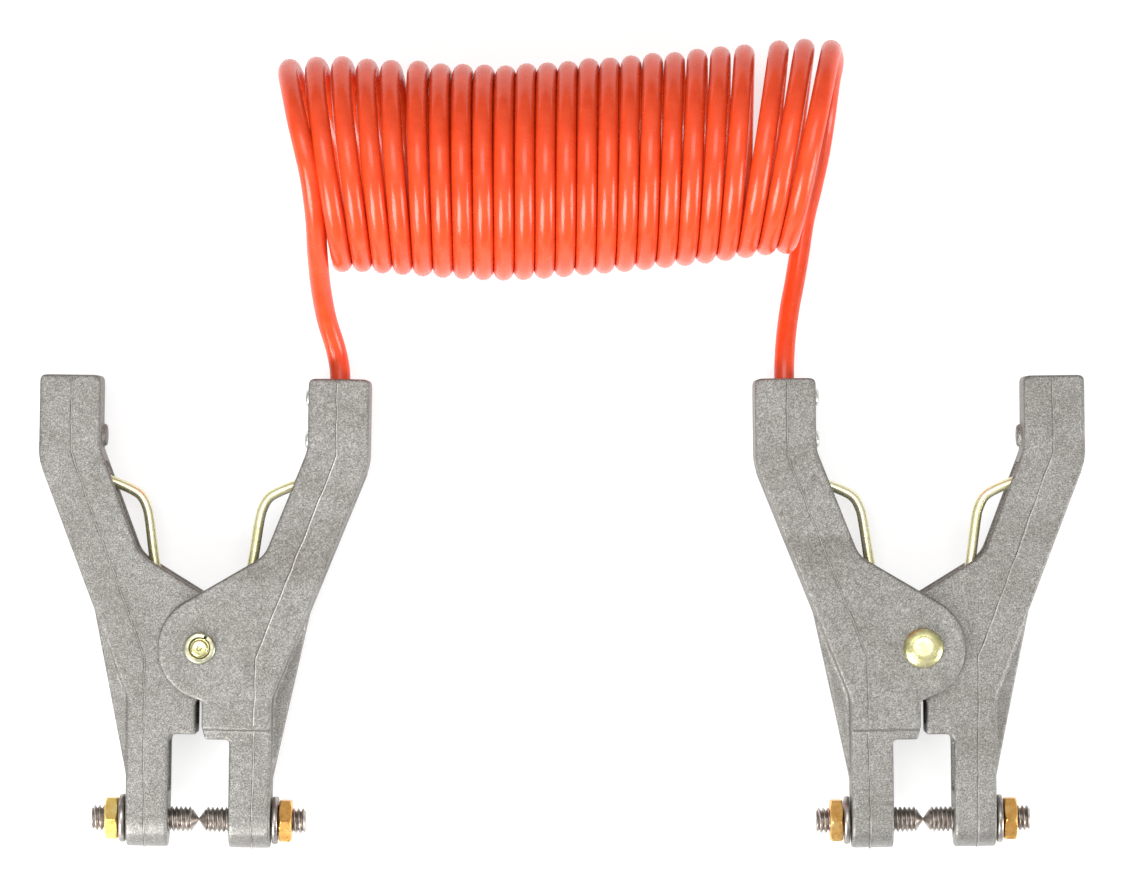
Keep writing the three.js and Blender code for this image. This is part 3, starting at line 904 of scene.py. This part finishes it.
def lock_washer(side, half, body):
    """Spring washer: one turn of square wire, split at the side towards the handles."""
    middle = (WASHER_START + WASHER_END) / 2
    thick = (WASHER_END - WASHER_START) / 2 - WASHER_TWIST
    inner, outer, corner = WASHER_INNER, WASHER_OUTER, WASHER_CORNER
    steps = 84
    rings = []
    for i in range(steps + 1):
        t = i / steps
        angle = WASHER_HALF_GAP + (2 * math.pi - 2 * WASHER_HALF_GAP) * t
        x = middle + WASHER_TWIST * (2 * t - 1)
        section = [
            (x - thick, inner + corner),
            (x - thick + corner, inner),
            (x + thick - corner, inner),
            (x + thick, inner + corner),
            (x + thick, outer - corner),
            (x + thick - corner * 0.6, outer - corner * 0.3),
            (x + thick - 2 * corner, outer),
            (x - thick + 2 * corner, outer),
            (x - thick + corner * 0.6, outer - corner * 0.3),
            (x - thick, outer - corner),
        ]
        c, s = math.cos(angle), math.sin(angle)
        rings.append([(a, r * c, r * s) for a, r in section])
    node = f"{side}_{half}_lock_washer"
    show(
        f"{node}_sprung",
        skin(rings),
        WASHER_STEEL,
        screw_frame(side, half),
        body,
        [node],
        sharp=40,
    )


# ---------------------------------------------------------------- cable fastening


def cable_screw(side, level):
    """Slotted screw with a low, rounded head on the handle's inner face."""
    top = HANDLE_INNER - CABLE_SCREW_PROUD
    under = HANDLE_INNER - CABLE_SCREW_SINK
    profile = [
        *((top + down, radius) for down, radius in CABLE_SCREW_CROWN),
        (under, CABLE_SCREW_HEAD),
        (under, CABLE_SCREW_SHANK),
        (CABLE_SCREW_END, CABLE_SCREW_SHANK),
    ]
    screw = lathe("x", profile, sides=40)
    node = f"{side}_{level}_cable_screw"
    place = clamp_frame(side) @ Matrix.Translation((0, HANDLE_TOP - CABLE_SCREW_DROPS[level], 0))
    piece = show(f"{node}_slotted", screw, ZINC_BRIGHT, place, None, [node])
    low = (top - CLEAR, -CABLE_SCREW_SLOT_REACH, -CABLE_SCREW_SLOT / 2)
    high = (top + CABLE_SCREW_SLOT_DEPTH, CABLE_SCREW_SLOT_REACH, CABLE_SCREW_SLOT / 2)
    cut(piece, low, high, place)
    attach(piece, "cable_set")


# ---------------------------------------------------------------- cable


def coil_point(turn):
    """The cable's centre line at a turn number; a whole number is a crest on the far side."""
    u = (turn - (COIL_CRESTS + 1) / 2) / ((COIL_CRESTS - 1) / 2)
    far = COIL_FAR[0] + COIL_FAR[1] * u + COIL_FAR[2] * u**3
    for crest, gap in COIL_GAPS:
        t = min(1.0, max(0.0, (turn - crest - COIL_GAP_START) / COIL_GAP_LENGTH))
        far += gap * t * t * (3 - 2 * t)
    near = COIL_NEAR[0] + COIL_NEAR[1] * u
    angle = 2 * math.pi * (turn - 1)
    number = math.floor(turn + 0.5)
    uneven = COIL_UNEVEN * math.sin(COIL_UNEVEN_STEP * number + COIL_UNEVEN_PHASE)
    radius = COIL_MEAN_RADIUS + uneven * COIL_UNEVEN_SHARE * math.cos(angle / 2) ** 2
    x = (far + near) / 2 + (far - near) / 2 * math.cos(angle)
    dip = COIL_DIP * math.exp(-(((u - COIL_DIP_AT) / COIL_DIP_WIDTH) ** 2))
    sag = dip + COIL_END_DROP * u**20
    middle = COIL_MIDDLE[0] + COIL_MIDDLE[1] * u + COIL_MIDDLE[2] * u * u
    y = middle - sag + radius * math.cos(angle)
    return (x, y, COIL_HEIGHT - COIL_MEAN_RADIUS * math.sin(angle))


def cable_route():
    """The cable's centre line from one clamp to the other: a lead, the coil, and a lead."""
    count = (COIL_CRESTS - 1) * COIL_POINTS
    coil = [coil_point(1 + i / COIL_POINTS) for i in range(count + 1)]
    start, end = coil[COIL_TRIM], coil[-COIL_TRIM - 1]
    lead_in = smooth_path([*LEFT_LEAD, coil[0], start], LEAD_STEP)
    lead_out = smooth_path([end, coil[-1], *RIGHT_LEAD], LEAD_STEP)
    first = [p for p in lead_in if np.linalg.norm(p - np.array(start)) > LEAD_CLEAR]
    last = [p for p in lead_out if np.linalg.norm(p - np.array(end)) > LEAD_CLEAR]
    return np.array([*first, *coil[COIL_TRIM:-COIL_TRIM], *last])


def coiled_cable():
    route = cable_route()
    curve = bpy.data.curves.new("coiled_bonding_cable", "CURVE")
    curve.dimensions = "3D"
    curve.bevel_depth = CABLE_RADIUS * MM
    curve.bevel_resolution = 5
    curve.use_fill_caps = True
    spline = curve.splines.new("POLY")
    spline.points.add(len(route) - 1)
    for point, (x, y, z) in zip(spline.points, route * MM):
        point.co = (x, y, z, 1)
    spline.use_smooth = True
    piece = bpy.data.objects.new("coiled_bonding_cable", curve)
    bpy.context.scene.collection.objects.link(piece)
    curve.materials.append(VINYL)
    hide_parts("coiled_cable", "left_lead", "right_lead")
    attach(piece, "cable_set")


# ---------------------------------------------------------------- assembly

coiled_cable()
for side in ("left", "right"):
    for half in ("cable", "tongue"):
        body = "cable_set" if half == "cable" else f"{side}_jaw"
        casting(side, half, body)
        flash(side, half, body)
        contact_screw(side, half)
        lock_nut(side, half)
        lock_washer(side, half, body)
    pivot_pin(side)
    retaining_ring(side)
    torsion_spring(side)
    for level in CABLE_SCREW_DROPS:
        cable_screw(side, level)
    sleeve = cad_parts[f"{side}_cable_sleeve"]
    sleeve.data.materials.clear()
    sleeve.data.materials.append(ZINC_BRIGHT)

# ---------------------------------------------------------------- stage, light and camera

FLOOR_HALF = 12.0
FLOOR_GREY = 0.42
FLOOR_GLOW = 0.66

# Soft panels: place, size in metres and power in watts.
PANELS = {
    "left_panel": ((-0.66, -0.76, 0.65), (0.62, 0.78), 21),
    "right_panel": ((1.1, -0.42, 0.3), (0.5, 0.7), 11),
    "overhead": ((0.0, 0.5, 2.2), (1.6, 1.0), 21),
}
PANELS_FACE = (0, 0.1, 0.03)

# Height up the sky and its grey there.
SKY = ((0.15, 0.25), (0.9, 0.8))

CAMERA_PLACE = (0.000155, 0.05157, 1.76)
LENS = 178.9
SENSOR_WIDTH = 36
CLIP_END = 20


def floor():
    """A white floor that glows, so that the shadows on it stay pale."""
    mesh = bpy.data.meshes.new("floor")
    corners = [(-1, -1, 0), (1, -1, 0), (1, 1, 0), (-1, 1, 0)]
    mesh.from_pydata([Vector(c) * FLOOR_HALF for c in corners], [], [(0, 1, 2, 3)])
    piece = bpy.data.objects.new("floor", mesh)
    bpy.context.scene.collection.objects.link(piece)
    made, shader = material("floor_white", (FLOOR_GREY, FLOOR_GREY, FLOOR_GREY), 0, 0.9)
    shader.inputs["Emission Color"].default_value = (1, 1, 1, 1)
    shader.inputs["Emission Strength"].default_value = FLOOR_GLOW
    mesh.materials.append(made)


def softbox(name, place, size, power):
    light = bpy.data.lights.new(name, "AREA")
    light.shape = "RECTANGLE"
    light.size, light.size_y = size
    light.energy = power
    lamp = bpy.data.objects.new(name, light)
    lamp.location = place
    way = Vector(PANELS_FACE) - Vector(place)
    lamp.rotation_euler = way.to_track_quat("-Z", "Y").to_euler()
    bpy.context.scene.collection.objects.link(lamp)


def sky():
    """Pale overhead, darker towards the horizon."""
    world = bpy.data.worlds.new("studio")
    world.use_nodes = True
    nodes = world.node_tree.nodes
    links = world.node_tree.links
    place = nodes.new("ShaderNodeTexCoord")
    parts = nodes.new("ShaderNodeSeparateXYZ")
    shade = nodes.new("ShaderNodeValToRGB")
    links.new(place.outputs["Generated"], parts.inputs["Vector"])
    links.new(parts.outputs["Z"], shade.inputs["Fac"])
    links.new(shade.outputs["Color"], nodes["Background"].inputs["Color"])
    for stop, (height, grey) in zip(shade.color_ramp.elements, SKY):
        stop.position = height
        stop.color = (grey, grey, grey, 1)
    bpy.context.scene.world = world


def camera():
    """Straight down on the row, through a long lens."""
    data = bpy.data.cameras.new("camera")
    data.sensor_width = SENSOR_WIDTH
    data.lens = LENS
    data.clip_end = CLIP_END
    eye = bpy.data.objects.new("camera", data)
    eye.location = CAMERA_PLACE
    bpy.context.scene.collection.objects.link(eye)
    bpy.context.scene.camera = eye
    bpy.context.scene.view_settings.view_transform = "Standard"


floor()
for name, (place, size, power) in PANELS.items():
    softbox(name, place, size, power)
sky()
camera()
